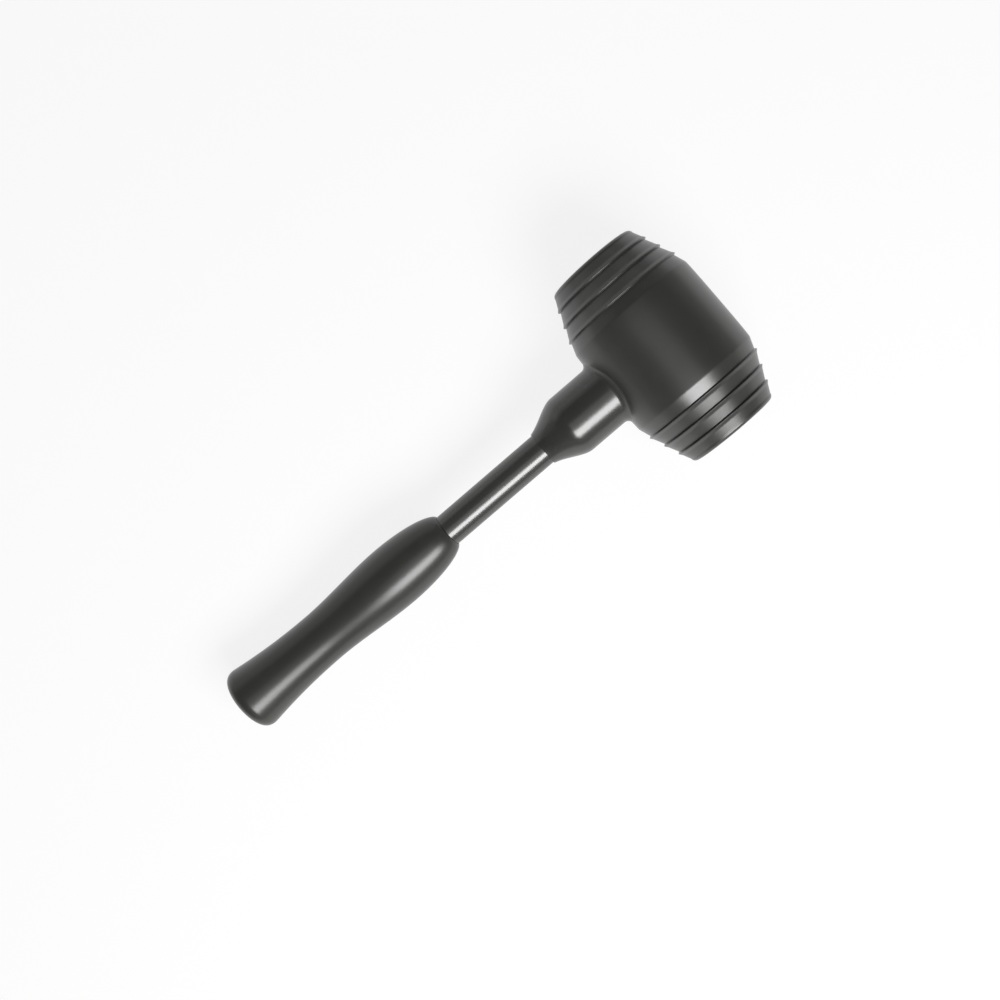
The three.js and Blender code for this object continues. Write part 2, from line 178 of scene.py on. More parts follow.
class MalletHandleSizes(bpy.types.PropertyGroup):
    """Sizes of the coated shank and of the grip, measured from the head axis along the handle."""
    tube_radius: millimetres("Tube radius", 9, "Outer radius of the shank")
    tube_bore: millimetres("Tube bore", 7, "Inner radius of the shank")
    tube_start: millimetres("Tube start", 29.8, "Where the shank starts inside the head")
    tube_end: millimetres("Tube end", 281.4, "Where the shank ends inside the grip")
    tube_round: millimetres("Tube edge round", 0.4, "Rounding of the shank's ends")
    socket_pin_at: millimetres("Socket pin at", 42.5, "Place of the cross pin in the socket")
    socket_pin_hole: millimetres("Socket pin hole", 2.8, "Radius of the hole for the socket pin")
    anchor_pin_at: millimetres("Anchor pin at", 262.5, "Place of the cross pin in the grip")
    anchor_pin_hole: millimetres("Anchor pin hole", 2.3, "Radius of the hole for the anchor pin")
    anchor_pocket: millimetres("Anchor pocket", 22.6, "Length of the pocket for the anchor pin")
    grip_bore: millimetres("Grip bore", 9.3, "Radius of the grip's blind bore")
    grip_bore_end: millimetres("Grip bore end", 284, "Where the grip's bore ends")
    grip_lip: millimetres("Grip lip", 0.4, "Thickness of the grip's edge on the shank")
    nose_length: millimetres("Nose length", 38.3, "Length of the rounded nose")
    nose_rise: millimetres("Nose rise", 9.2, "Rise of the rounded nose")
    swell_at: millimetres("Swell at", 186, "Place of the grip's swell")
    swell_radius: millimetres("Swell radius", 17.1, "Radius of the grip's swell")
    waist_at: millimetres("Waist at", 236, "Place of the grip's waist")
    waist_radius: millimetres("Waist radius", 14.4, "Radius of the grip's waist")
    flare_at: millimetres("Flare at", 286.2, "Place of the butt's flare")
    flare_radius: millimetres("Flare radius", 18.05, "Radius of the butt's flare")
    crest_ease: millimetres("Flare ease", 0.1, "How much the flare's edge is eased")
    reach: millimetres("Reach", 293.47, "From the head axis to the end of the butt")


class MalletFinishes(bpy.types.PropertyGroup):
    """Colours and surfaces of the mallet's materials."""
    head_tone: paint("Head tone", (0.0212, 0.0212, 0.0185), "Colour of the moulded head")
    barrel_roughness: share("Barrel roughness", 0.33, "Roughness of the barrel")
    boss_roughness: share("Boss roughness", 0.24, "Roughness of the neck boss")
    grip_tone: paint("Grip tone", (0.025, 0.025, 0.022), "Colour of the rubber grip")
    grip_roughness: share("Grip roughness", 0.3, "Roughness of the rubber grip")
    coating_tone: paint("Coating tone", (0.0255, 0.0255, 0.0225), "Colour of the shank's coating")
    coating_roughness: share("Coating roughness", 0.245, "Roughness of the shank's coating")
    plug_tone: paint("Plug tone", (0.05, 0.05, 0.052), "Colour of the plastic plug")
    steel_tone: paint("Steel tone", (0.52, 0.53, 0.54), "Colour of the turned steel")
    weld_tone: paint("Weld tone", (0.4, 0.38, 0.35), "Colour of the weld beads")
    ball_tone: paint("Ball tone", (0.72, 0.73, 0.74), "Colour of the polished balls")


class MalletStage(bpy.types.PropertyGroup):
    """Floor, lamps, world and camera."""
    floor_radius: metres("Floor radius", 2.5, "Radius of the flat floor")
    wall_height: metres("Wall height", 1.6, "Height of the floor's raised rim")
    floor_tone: paint("Floor tone", (0.9, 0.9, 0.9), "Colour of the floor")
    # The floor's white glow falls from the near share to the far share with distance from the mallet: a
    # painted falloff of light that dims the far floor and wall, both in view and in reflections.
    backdrop_share: share("Backdrop share", 0.85, "How much of the near floor shows as plain white")
    painted_falloff_far_share: share("Far backdrop share", 0.2, "How much of the far floor shows as plain white")
    painted_falloff_start: metres("Backdrop near", 0.45, "Distance up to which the floor counts as near")
    painted_falloff_end: metres("Backdrop far", 2.6, "Distance from which the floor counts as far")
    world_tone: paint("World tone", (0.15, 0.15, 0.15), "Colour of the light from all round")
    key_place: spot("Key place", (-0.02, -0.617, 0.744), "Middle of the soft key lamp")
    key_aim: spot("Key aim", (0.0, 0.0, 0.035), "Point that the key lamp faces")
    key_power: watts("Key power", 11.0, "Power of the key lamp in watts")
    key_length: metres("Key length", 0.72, "Length of the key lamp")
    key_width: metres("Key width", 0.434, "Width of the key lamp")
    fill_place: spot("Fill place", (0.0, 1.15, 0.42), "Middle of the dim fill panel")
    fill_aim: spot("Fill aim", (0.0, 0.0, 0.2), "Point that the fill panel faces")
    fill_power: watts("Fill power", 1.7, "Power of the fill panel in watts")
    fill_length: metres("Fill length", 2.0, "Length of the fill panel")
    fill_width: metres("Fill width", 0.8, "Width of the fill panel")
    top_place: spot("Top place", (-0.02, -0.21, 1.0), "Middle of the faint top panel")
    top_aim: spot("Top aim", (0.0, 0.0, 0.035), "Point that the top panel faces")
    top_power: watts("Top power", 0.75, "Power of the top panel in watts")
    top_width: metres("Top width", 0.52, "Width of the top panel")
    camera_place: spot("Camera place", (0.017374, -0.00888, 0.72295), "Place of the camera")
    camera_turn: FloatProperty(
        name="Camera turn", description="Turn of the picture about the view", default=math.radians(40.55),
        subtype="ANGLE", unit="ROTATION")
    camera_lean: FloatVectorProperty(
        name="Camera lean", description="Small lean of the camera off the vertical", size=3,
        default=tuple(math.radians(a) for a in (0.126, -0.539, 0.023)), subtype="EULER", unit="ROTATION")
    camera_lens: FloatProperty(
        name="Lens", description="Focal length in millimetres", default=47.29, min=10.0)


# Solids in the head's own frame: the head along Y, the handle along -X


def spun(name, profile, axis, steps, rounds=(), closed=False, hold=None):
    """A solid turned from a profile in the XY plane, its corners rounded by (place, radius, segments)
    and its straight runs cut a short hold from each end, so that they are shaded straight."""
    shape = bmesh.new()
    points = [shape.verts.new((x, y, 0.0)) for x, y in profile]
    for start, end in zip(points, points[1:]):
        shape.edges.new((start, end))
    if closed:
        shape.edges.new((points[-1], points[0]))
    for place, radius, segments in rounds:
        bmesh.ops.bevel(
            shape, geom=[points[place]], offset=radius, offset_type="OFFSET", affect="VERTICES",
            segments=segments, profile=0.5, material=-1)
    straight_runs = shape.edges[:] if hold else []
    for run in straight_runs:
        for end in run.verts[:]:
            if run.calc_length() > 3 * hold:
                part, _ = bmesh.utils.edge_split(run, end, hold / run.calc_length())
                run = max(run, part, key=lambda edge: edge.calc_length())
    bmesh.ops.spin(
        shape, geom=shape.verts[:] + shape.edges[:], cent=(0, 0, 0), axis=axis, angle=math.tau,
        steps=steps, use_merge=True)
    bmesh.ops.remove_doubles(shape, verts=shape.verts[:], dist=SEAM)
    bmesh.ops.recalc_face_normals(shape, faces=shape.faces[:])
    return solid(name, shape)


def solid(name, shape):
    """Puts a bmesh into a new object of the scene."""
    mesh = bpy.data.meshes.new(name)
    shape.to_mesh(mesh)
    shape.free()
    piece = bpy.data.objects.new(name, mesh)
    bpy.context.scene.collection.objects.link(piece)
    return piece


def head_rod(radius, half, steps=ROD_STEPS):
    """A round bar along the head."""
    return spun("rod", [(0, -half), (radius, -half), (radius, half), (0, half)], (0, 1, 0), steps)


def handle_rod(radius, start, end):
    """A round bar along the handle."""
    return spun("rod", [(-start, 0), (-start, radius), (-end, radius), (-end, 0)], (1, 0, 0), ROD_STEPS)


def cross_bar(radius, length, place):
    """A round bar across the handle."""
    bar = head_rod(radius, length / 2, PIN_STEPS)
    bar.data.transform(Matrix.Translation((-place, 0, 0)))
    return bar


def cut(piece, tool, operation="DIFFERENCE"):
    """Joins a second solid to a piece, or takes it out of the piece, and drops that second solid."""
    step = piece.modifiers.new("cut", "BOOLEAN")
    step.operation = operation
    step.solver = "EXACT"
    step.object = tool
    seen = piece.evaluated_get(bpy.context.evaluated_depsgraph_get())
    mesh = bpy.data.meshes.new_from_object(seen)
    piece.modifiers.clear()
    shape = bmesh.new()
    shape.from_mesh(mesh)
    bmesh.ops.remove_doubles(shape, verts=shape.verts[:], dist=WELD)
    bmesh.ops.dissolve_degenerate(shape, dist=WELD, edges=shape.edges[:])
    bmesh.ops.recalc_face_normals(shape, faces=shape.faces[:])
    shape.to_mesh(mesh)
    shape.free()
    old = piece.data
    piece.data = mesh
    mesh.name = piece.name
    bpy.data.meshes.remove(old)
    spare = tool.data
    bpy.data.objects.remove(tool)
    bpy.data.meshes.remove(spare)
    return piece


def rest_tilt(head, handle):
    """Angle at which the mallet lies on its barrel and the flare of its butt."""
    reach = math.hypot(handle.flare_at, handle.flare_radius)
    return math.asin(head.barrel_radius / reach) - math.atan2(handle.flare_radius, handle.flare_at)


def lying(scene):
    """Place of the head's own frame on the bench, from the striking faces of the packed frame."""
    faces = [Vector(mount["pos_m"]) for mount in frame["record"]["mounts"]]
    centre = sum(faces, Vector()) / len(faces)
    tilt = rest_tilt(scene.mallet_head, scene.mallet_handle)
    return Matrix.Translation(centre) @ Matrix.Rotation(-tilt, 4, "Y")


def dress(piece, finish, body, slot, *nodes):
    """Smooths a finished piece, gives it its finish and lets it stand for its nodes of the frame."""
    shape = bmesh.new()
    shape.from_mesh(piece.data)
    bmesh.ops.triangulate(shape, faces=[face for face in shape.faces if len(face.verts) > 4])
    bmesh.ops.dissolve_degenerate(shape, dist=WELD, edges=shape.edges[:])
    for face in shape.faces:
        face.smooth = True
    for edge in shape.edges:
        edge.smooth = edge.calc_face_angle(math.pi) < SHARP_ANGLE
    shape.to_mesh(piece.data)
    shape.free()
    piece.data.materials.clear()
    piece.data.materials.append(finish)
    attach(piece, body)
    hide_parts(*nodes)


# Outlines


def curve(start, lead, trail, end, count):
    """Points of a Bezier curve between two points of an outline."""
    corners = [Vector((*corner, 0.0)) for corner in (start, lead, trail, end)]
    return [(point.x, point.y) for point in interpolate_bezier(*corners, count)]


def barrel_outline(head):
    """Radius and place of the barrel from its middle to the middle of a face, and the corners to round."""
    face = head.length / 2
    shoulder = face - head.shoulder_from_face
    belly = head.barrel_radius
    edge = belly - head.face_edge_drop
    outline = curve(
        (belly, 0), (belly, shoulder * BELLY_LEAD),
        (belly - head.belly_crown * BELLY_TRAIL_FALL, shoulder * BELLY_TRAIL),
        (belly - head.belly_crown, shoulder), BELLY_POINTS)
    rounds = [(len(outline) - 1, SHOULDER_ROUND, 3)]
    for ring in range(head.ring_count):
        place = face - head.last_ring_from_face - head.ring_pitch * (head.ring_count - 1 - ring)
        crest = belly - head.first_ring_drop - head.ring_fall * ring
        outline.append((crest - head.ring_step_height, place - head.ring_step_run))
        outline.append((crest, place))
        rounds.append((len(outline) - 1, head.crest_round, 4))
        outline.append((crest - head.ring_lip_drop, place + head.ring_lip_run))
        rounds.append((len(outline) - 1, LIP_ROUND, 3))
    outline.append((edge, face - head.face_edge_round))
    bend = QUARTER_BEND * head.face_edge_round
    outline += curve(
        (edge, face - head.face_edge_round), (edge, face - head.face_edge_round + bend),
        (edge - head.face_edge_round + bend, face), (edge - head.face_edge_round, face),
        FACE_EDGE_POINTS)[1:]
    outline.append((0, face))
    return outline, rounds


def belly_radius(outline, place):
    """Radius of the barrel at a place of its outline."""
    for (low, start), (high, end) in zip(outline, outline[1:]):
        if start <= place <= end and end > start:
            return low + (high - low) * (place - start) / (end - start)
    raise ValueError("The place lies outside the barrel")


def boss_outline(head):
    """Place and radius of the boss from inside the barrel to the middle of its mouth."""
    belly, fillet, radius = head.barrel_radius, head.boss_fillet, head.boss_radius
    root, sink = belly - BOSS_ROOT, belly - FILLET_SINK
    outline = [(root, 0), (root, radius + fillet), (sink, radius + fillet)]
    for step in range(FILLET_CUTS + 1):
        turn = FILLET_TURN * (1 - step / FILLET_CUTS)
        outline.append((belly + fillet * (1 - math.sin(turn)), radius + fillet * (1 - math.cos(turn))))
    outline.append((head.boss_end * 0.5 + (belly + fillet) * 0.5, radius))
    end, mouth = head.boss_end, head.boss_end + head.neck_length
    low = head.mouth_radius
    outline += curve(
        (end, radius), (end + head.neck_length * NECK_LEAD, radius),
        (end + head.neck_length * NECK_TRAIL, low + (radius - low) * NECK_TRAIL_RISE), (mouth, low),
        NECK_POINTS)
    outline.append((mouth, 0))
    return outline


def grip_outline(handle):
    """Place and radius of the grip from its edge on the shank to the middle of its butt."""
    lip = handle.grip_bore + handle.grip_lip
    base = handle.swell_radius - handle.nose_rise
    first = math.asin((lip - base) / handle.nose_rise)
    outline = []
    for step in range(CURVE_CUTS + 1):
        turn = first + (math.pi / 2 - first) * step / CURVE_CUTS
        outline.append((
            handle.swell_at - handle.nose_length * math.cos(turn), base + handle.nose_rise * math.sin(turn)))
    for step in range(1, CURVE_CUTS + 1):
        part = step / CURVE_CUTS
        ease = part * part * (3 - 2 * part)
        outline.append((
            handle.swell_at + (handle.waist_at - handle.swell_at) * part,
            handle.swell_radius + (handle.waist_radius - handle.swell_radius) * ease))
    for step in range(1, CURVE_CUTS + 1):
        part = step / CURVE_CUTS * FLARE_SHARE
        outline.append((
            handle.waist_at + (handle.flare_at - handle.waist_at) * part,
            handle.waist_radius + (handle.flare_radius - handle.waist_radius) * part * part))
    (before, under), (last, low) = outline[-2:]
    crest = handle.flare_radius - handle.crest_ease
    lead = (crest - low) / (low - under) * (last - before)
    outline += curve(
        (last, low), (last + lead * FLARE_LEAD, low + (crest - low) * FLARE_LEAD),
        (handle.flare_at - lead * FLARE_TRAIL, crest), (handle.flare_at, crest), FLARE_POINTS)[1:]
    butt = handle.reach - handle.flare_at
    outline += curve(
        (handle.flare_at, crest), (handle.flare_at + butt * BUTT_LEAD, crest),
        (handle.reach, handle.flare_radius * BUTT_TRAIL), (handle.reach, 0), BUTT_POINTS)[1:]
    return outline


# Finishes


def node(tree, kind, place, **values):
    """Adds a shader node at a place of the tree and sets its plain values."""
    made = tree.nodes.new(kind)
    made.location = (place[0] * NODE_SPACING, place[1] * NODE_SPACING)
    for name, value in values.items():
        setattr(made, name, value)
    return made


def new_group(name, inputs, outputs):
    """A shader node group with named sockets, given as (name, socket type, default)."""
    group = bpy.data.node_groups.new(name, "ShaderNodeTree")
    for label, kind, default in inputs:
        socket = group.interface.new_socket(label, in_out="INPUT", socket_type=kind)
        socket.default_value = default
    for label, kind in outputs:
        group.interface.new_socket(label, in_out="OUTPUT", socket_type=kind)
    return group, node(group, "NodeGroupInput", (-6, 0)), node(group, "NodeGroupOutput", (4, 0))


def noise(tree, place, scale, detail, roughness=0.5):
    """A noise texture of a plain scale."""
    made = node(tree, "ShaderNodeTexNoise", place)
    made.inputs["Scale"].default_value = scale
    made.inputs["Detail"].default_value = detail
    made.inputs["Roughness"].default_value = roughness
    return made


def maths(tree, place, operation, first, second, third=None):
    """A math node whose inputs are sockets or plain numbers."""
    made = node(tree, "ShaderNodeMath", place, operation=operation)
    for socket, value in zip(made.inputs, (first, second, third)):
        if value is None:
            continue
        if isinstance(value, (int, float)):
            socket.default_value = value
        else:
            tree.links.new(value, socket)
    return made.outputs[0]


def moulded_skin():
    """The surface of a moulding: cloudy tone, faint flow, a fine grain and a gloss that varies with them."""
    found = bpy.data.node_groups.get("Moulded skin")
    if found:
        return found
    group, given, out = new_group(
        "Moulded skin",
        [("Tone", "NodeSocketColor", (0.03, 0.03, 0.03, 1)), ("Tone spread", "NodeSocketFloat", 0.1),
         ("Gloss", "NodeSocketFloat", 0.3), ("Gloss spread", "NodeSocketFloat", 0.06),
         ("Grain scale", "NodeSocketFloat", 1800.0)],
        [("Color", "NodeSocketColor"), ("Roughness", "NodeSocketFloat"), ("Height", "NodeSocketFloat")])
    links = group.links
    place = node(group, "ShaderNodeTexCoord", (-6, -2)).outputs["Object"]
    cloud = noise(group, (-4, 1), scale=38.0, detail=4.0, roughness=0.55)
    flow = noise(group, (-4, 0), scale=160.0, detail=3.0)
    grain = noise(group, (-4, -1), scale=1800.0, detail=2.0)
    pits = node(group, "ShaderNodeTexVoronoi", (-4, -2), feature="SMOOTH_F1")
    pits.inputs["Smoothness"].default_value = 0.6
    for texture in (cloud, flow, grain, pits):
        links.new(place, texture.inputs["Vector"])
    links.new(given.outputs["Grain scale"], grain.inputs["Scale"])
    links.new(maths(group, (-5, -2), "MULTIPLY", given.outputs["Grain scale"], 0.55), pits.inputs["Scale"])
    patch = maths(group, (-2, 1), "MULTIPLY_ADD", cloud.outputs["Fac"], 0.7, maths(
        group, (-3, 0), "MULTIPLY", flow.outputs["Fac"], 0.3))
    swing = maths(group, (-1, 1), "MULTIPLY_ADD", patch, 4.0, -2.0)
    lift = maths(group, (0, 1), "MULTIPLY_ADD", swing, given.outputs["Tone spread"], 1.0)
    tinted = node(group, "ShaderNodeMix", (1, 1), data_type="RGBA", blend_type="MULTIPLY")
    tinted.inputs["Factor"].default_value = 1.0
    links.new(given.outputs["Tone"], tinted.inputs["A"])
    links.new(lift, tinted.inputs["B"])
    links.new(tinted.outputs["Result"], out.inputs["Color"])
    rub = maths(group, (-1, 0), "ADD", swing, maths(
        group, (-2, 0), "MULTIPLY_ADD", grain.outputs["Fac"], 2.0, -1.0))
    links.new(
        maths(group, (0, 0), "MULTIPLY_ADD", rub, given.outputs["Gloss spread"], given.outputs["Gloss"]),
        out.inputs["Roughness"])
    links.new(
        maths(group, (0, -1), "MULTIPLY_ADD", grain.outputs["Fac"], 0.6, maths(
            group, (-1, -1), "MULTIPLY", pits.outputs["Distance"], 0.4)),
        out.inputs["Height"])
    return group


def worked_steel():
    """The surface of worked steel: fine turning lines, faint stains and a gloss that varies with them."""
    found = bpy.data.node_groups.get("Worked steel")
    if found:
        return found
    group, given, out = new_group(
        "Worked steel",
        [("Tone", "NodeSocketColor", (0.5, 0.5, 0.5, 1)), ("Stain", "NodeSocketColor", (0.3, 0.28, 0.25, 1)),
         ("Stain share", "NodeSocketFloat", 0.2), ("Gloss", "NodeSocketFloat", 0.3),
         ("Gloss spread", "NodeSocketFloat", 0.1), ("Line scale", "NodeSocketFloat", 900.0)],
        [("Color", "NodeSocketColor"), ("Roughness", "NodeSocketFloat"), ("Height", "NodeSocketFloat")])
    links = group.links
    place = node(group, "ShaderNodeTexCoord", (-6, -2)).outputs["Object"]
    stretch = node(group, "ShaderNodeMapping", (-5, -1))
    stretch.inputs["Scale"].default_value = (0.15, 1.0, 0.15)
    links.new(place, stretch.inputs["Vector"])
    lines = noise(group, (-4, -1), scale=900.0, detail=2.0)
    links.new(stretch.outputs["Vector"], lines.inputs["Vector"])
    links.new(given.outputs["Line scale"], lines.inputs["Scale"])
    stains = noise(group, (-4, 1), scale=90.0, detail=5.0, roughness=0.6)
    links.new(place, stains.inputs["Vector"])
    spread = maths(group, (-2, 1), "MULTIPLY_ADD", stains.outputs["Fac"], 3.0, -1.2)
    spread.node.use_clamp = True
    stained = node(group, "ShaderNodeMix", (1, 1), data_type="RGBA")
    stain = maths(group, (0, 1), "MULTIPLY", spread, given.outputs["Stain share"])
    links.new(stain, stained.inputs["Factor"])
    links.new(given.outputs["Tone"], stained.inputs["A"])
    links.new(given.outputs["Stain"], stained.inputs["B"])
    links.new(stained.outputs["Result"], out.inputs["Color"])
    rub = maths(group, (-1, 0), "MULTIPLY_ADD", lines.outputs["Fac"], 2.0, maths(
        group, (-2, 0), "ADD", spread, -1.0))
    links.new(
        maths(group, (0, 0), "MULTIPLY_ADD", rub, given.outputs["Gloss spread"], given.outputs["Gloss"]),
        out.inputs["Roughness"])
    links.new(lines.outputs["Fac"], out.inputs["Height"])
    return group


def finish(name, group, values, relief, **surface):
    """A material whose group drives its colour, roughness and relief, given as (strength, depth in
    millimetres); the rest is set on the shader."""
    found = bpy.data.materials.get(name)
    if found:
        return found
    made = bpy.data.materials.new(name)
    made.use_nodes = True
    tree = made.node_tree
    tree.nodes.clear()
    out = node(tree, "ShaderNodeOutputMaterial", (3, 0))
    shader = node(tree, "ShaderNodeBsdfPrincipled", (2, 0))
    bump = node(tree, "ShaderNodeBump", (1, -1))
    bump.inputs["Strength"].default_value = relief[0]
    bump.inputs["Distance"].default_value = relief[1] * MM
    skin = node(tree, "ShaderNodeGroup", (0, 0), node_tree=group)
    for label, value in values.items():
        skin.inputs[label].default_value = (*value, 1.0) if hasattr(value, "__len__") else value
    for label, value in surface.items():
        shader.inputs[label.replace("_", " ")].default_value = value
    tree.links.new(skin.outputs["Color"], shader.inputs["Base Color"])
    tree.links.new(skin.outputs["Roughness"], shader.inputs["Roughness"])
    tree.links.new(skin.outputs["Height"], bump.inputs["Height"])
    tree.links.new(bump.outputs["Normal"], shader.inputs["Normal"])
    tree.links.new(shader.outputs["BSDF"], out.inputs["Surface"])
    return made


def head_finish(looks, head, centre):
    """Satin moulded elastomer, smoother on the boss than on the barrel."""
    made = finish(
        "Head rubber", moulded_skin(),
        {"Tone": looks.head_tone, "Tone spread": 0.1, "Gloss spread": 0.015, "Grain scale": 650.0},
        (0.05, 0.05), IOR=1.72)
    tree = made.node_tree
    axes = node(tree, "ShaderNodeSeparateXYZ", (-2, 0))
    tree.links.new(node(tree, "ShaderNodeTexCoord", (-3, 0)).outputs["Object"], axes.inputs[0])
    along = node(tree, "ShaderNodeMapRange", (-1, 0), interpolation_type="SMOOTHSTEP")
    along.inputs["From Min"].default_value = centre.x - head.barrel_radius - head.boss_fillet
    along.inputs["From Max"].default_value = centre.x - head.barrel_radius + 2 * head.boss_fillet
    along.inputs["To Min"].default_value = looks.boss_roughness
    along.inputs["To Max"].default_value = looks.barrel_roughness
    tree.links.new(axes.outputs["X"], along.inputs["Value"])
    skin = next(part for part in tree.nodes if part.bl_idname == "ShaderNodeGroup")
    tree.links.new(along.outputs["Result"], skin.inputs["Gloss"])
    return made


def grip_finish(looks):
    """Soft satin rubber."""
    return finish(
        "Grip rubber", moulded_skin(),
        {"Tone": looks.grip_tone, "Tone spread": 0.12, "Gloss": looks.grip_roughness,
         "Gloss spread": 0.012, "Grain scale": 600.0}, (0.05, 0.05), IOR=1.6)


def coating_finish(looks):
    """Semi-gloss coating on a steel tube."""
    return finish(
        "Coated steel", moulded_skin(),
        {"Tone": looks.coating_tone, "Tone spread": 0.06, "Gloss": looks.coating_roughness,
         "Gloss spread": 0.012, "Grain scale": 380.0}, (0.04, 0.04), IOR=1.8)


def plug_finish(looks):
    """Plain moulded plastic."""
    return finish(
        "Plug plastic", moulded_skin(),
        {"Tone": looks.plug_tone, "Tone spread": 0.08, "Gloss": 0.42,
         "Gloss spread": 0.05, "Grain scale": 1400.0}, (0.15, 0.05), IOR=1.48)


def steel_finish(looks):
    """Turned steel with faint stains."""
    return finish(
        "Turned steel", worked_steel(),
        {"Tone": looks.steel_tone, "Stain": (0.3, 0.28, 0.25), "Stain share": 0.25, "Gloss": 0.3,
         "Gloss spread": 0.08, "Line scale": 1400.0}, (0.15, 0.05), Metallic=1.0)


def weld_finish(looks):
    """Rippled weld bead with heat tint."""
    return finish(
        "Weld bead", worked_steel(),
        {"Tone": looks.weld_tone, "Stain": (0.12, 0.09, 0.1), "Stain share": 0.6, "Gloss": 0.4,
         "Gloss spread": 0.12, "Line scale": 420.0}, (0.6, 0.3), Metallic=1.0)


def ball_finish(looks):
    """Polished steel with faint rub marks."""
    return finish(
        "Polished balls", worked_steel(),
        {"Tone": looks.ball_tone, "Stain": (0.45, 0.45, 0.46), "Stain share": 0.2, "Gloss": 0.14,
         "Gloss spread": 0.05, "Line scale": 1100.0}, (0.05, 0.03), Metallic=1.0)


# Operators


class MALLET_OT_head(bpy.types.Operator):
    """Models the moulded head with its rings, its faces and its neck boss, hollow for the steel inside"""
    bl_idname = "mallet.head"
    bl_label = "Moulded head"

    def execute(self, context):
        head = context.scene.mallet_head
        half, rounds = barrel_outline(head)
        last = len(half) - 1
        outline = [(radius, -place) for radius, place in reversed(half)] + half[1:]
        both = [(last + at, radius, count) for at, radius, count in rounds]
        both += [(last - at, radius, count) for at, radius, count in rounds]
        jacket = spun("head_skin", outline, (0, 1, 0), BARREL_STEPS, both, hold=STRAIGHT_HOLD)
        boss_profile = [(-place, radius) for place, radius in boss_outline(head)]
        boss = spun("boss", boss_profile, (1, 0, 0), TUBE_STEPS)
        belly = head.barrel_radius
        for point in boss.data.vertices:
            if -point.co.x < belly + head.boss_fillet + WELD:
                point.co.x += belly - math.sqrt(belly_radius(half, abs(point.co.y)) ** 2 - point.co.z ** 2)
        cut(jacket, boss, "UNION")
        cut(jacket, handle_rod(head.bore_radius, 0, head.boss_end + 2 * head.neck_length))
        cut(jacket, handle_rod(head.socket_room, 0, head.socket_end))
        saddle = cut(handle_rod(head.saddle_room, 0, belly), head_rod(head.saddle_reach, belly), "INTERSECT")
        cut(jacket, saddle)
        cut(jacket, head_rod(head.canister_room, head.canister_half))
        place = lying(context.scene)
        jacket.data.transform(place)
        skin = head_finish(context.scene.mallet_finish, head, place.translation)
        dress(jacket, skin, "mallet", "head_rubber", "head_jacket")
        return {"FINISHED"}


class MALLET_OT_shank(bpy.types.Operator):
    """Models the coated tube with its two cross holes"""
    bl_idname = "mallet.shank"
    bl_label = "Coated shank"

    def execute(self, context):
        handle = context.scene.mallet_handle
        length = handle.tube_end - handle.tube_start
        cuts = [handle.tube_start + length * step / TUBE_CUTS for step in range(TUBE_CUTS + 1)]
        outline = [(-place, handle.tube_radius) for place in cuts]
        outline += [(-place, handle.tube_bore) for place in reversed(cuts)]
        corners = (0, TUBE_CUTS, TUBE_CUTS + 1, 2 * TUBE_CUTS + 1)
        rounds = [(corner, handle.tube_round, 3) for corner in corners]
        shank = spun("shank", outline, (1, 0, 0), TUBE_STEPS, rounds, closed=True)
        cut(shank, cross_bar(handle.socket_pin_hole, 4 * handle.tube_radius, handle.socket_pin_at))
        cut(shank, cross_bar(handle.anchor_pin_hole, 4 * handle.tube_radius, handle.anchor_pin_at))
        shank.data.transform(lying(context.scene))
        dress(shank, coating_finish(context.scene.mallet_finish), "mallet", "coated_steel", "handle_tube")
        return {"FINISHED"}


class MALLET_OT_grip(bpy.types.Operator):
    """Models the rubber grip with its nose, swell, waist and flared butt, bored for the shank"""
    bl_idname = "mallet.grip"
    bl_label = "Rubber grip"

    def execute(self, context):
        handle = context.scene.mallet_handle
        outer = grip_outline(handle)
        bore_end, bore_radius = handle.grip_bore_end, handle.grip_bore
        bore = [(bore_end, 0), (bore_end, bore_radius), (outer[0][0], bore_radius)]
        outline = [(-place, radius) for place, radius in bore + outer]
        grip = spun("grip_skin", outline, (1, 0, 0), GRIP_STEPS, [(len(bore), NOSE_ROUND, 3)])
        cut(grip, cross_bar(handle.anchor_pin_hole, handle.anchor_pocket, handle.anchor_pin_at))
        grip.data.transform(lying(context.scene))
        dress(grip, grip_finish(context.scene.mallet_finish), "mallet", "grip_rubber", "grip")
        return {"FINISHED"}


class MALLET_OT_balls(bpy.types.Operator):
    """Models the smooth balls of the loose charge"""
    bl_idname = "mallet.balls"
    bl_label = "Loose balls"

    def execute(self, context):
        head = context.scene.mallet_head
        polish = ball_finish(context.scene.mallet_finish)
        for number in range(1, BALL_COUNT + 1):
            node_name = f"shot_ball_{number:02d}"
            low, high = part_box(node_name)
            shape = bmesh.new()
            bmesh.ops.create_icosphere(
                shape, subdivisions=BALL_SUBDIVISIONS, radius=head.ball_radius,
                matrix=Matrix.Translation((low + high) / 2))
            dress(solid(f"ball_{number:02d}", shape), polish, "shot", "shot", node_name)
        return {"FINISHED"}


class MALLET_OT_core(bpy.types.Operator):
    """Gives the steel core, its welds and the plug of the frame their finishes"""
    bl_idname = "mallet.core"
    bl_label = "Steel core"

    def execute(self, context):
        looks = context.scene.mallet_finish
        makers = {"steel": steel_finish, "weld": weld_finish, "plug": plug_finish}
        for part in frame["record"]["subparts"]:
            maker = makers.get(part["material_slot"])
            if maker:
                core = frame["nodes"][part["node"]]
                core.data.materials.clear()
                core.data.materials.append(maker(looks))
        return {"FINISHED"}


